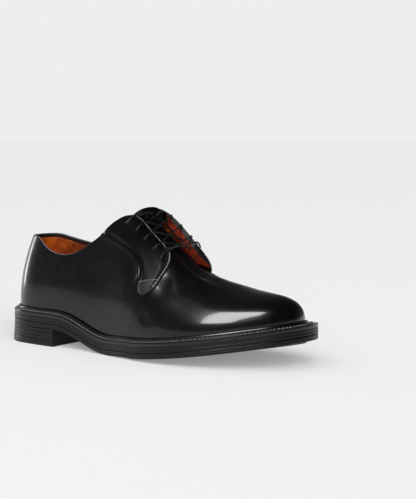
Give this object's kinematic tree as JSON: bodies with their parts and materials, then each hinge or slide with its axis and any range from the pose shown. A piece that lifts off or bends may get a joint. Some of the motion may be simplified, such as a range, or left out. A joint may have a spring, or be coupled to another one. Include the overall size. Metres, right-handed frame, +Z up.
{
  "type": "derby shoe",
  "caption": "Black polished leather plain-toe derby shoe with open lacing, a storm welt all round, a layered sole edge and a stacked heel. Right shoe, unworn and laced.",
  "frame": {"origin": "on the floor, under the middle of the shoe's length and width", "axes": "+X towards the toe, +Y towards the inner side of the foot, +Z up"},
  "size_m": [0.306, 0.1136, 0.1247],
  "materials": {
    "upper_leather": "black, waxed and polished to a soft mirror",
    "lining_leather": "orange-tan, smooth, unpolished",
    "welt_leather": "black, semi-matte, stitched",
    "edge_leather": "black edge ink, burnished layers",
    "sole_rubber": "black, matte",
    "lace_cotton": "black waxed round cord"
  },
  "bodies": {
    "root": {"upper": "upper_leather", "facing_outer": "upper_leather", "facing_inner": "upper_leather", "tongue": "upper_leather", "insole": "lining_leather", "welt": "welt_leather", "midsole": "edge_leather", "outsole": "sole_rubber", "heel_lift_1": "edge_leather", "heel_lift_2": "edge_leather", "heel_lift_3": "edge_leather", "top_lift": "sole_rubber", "lace_bar": "lace_cotton", "lace_cross_1": "lace_cotton", "lace_cross_2": "lace_cotton", "lace_cross_3": "lace_cotton", "lace_cross_4": "lace_cotton"}
  },
  "joints": []
}
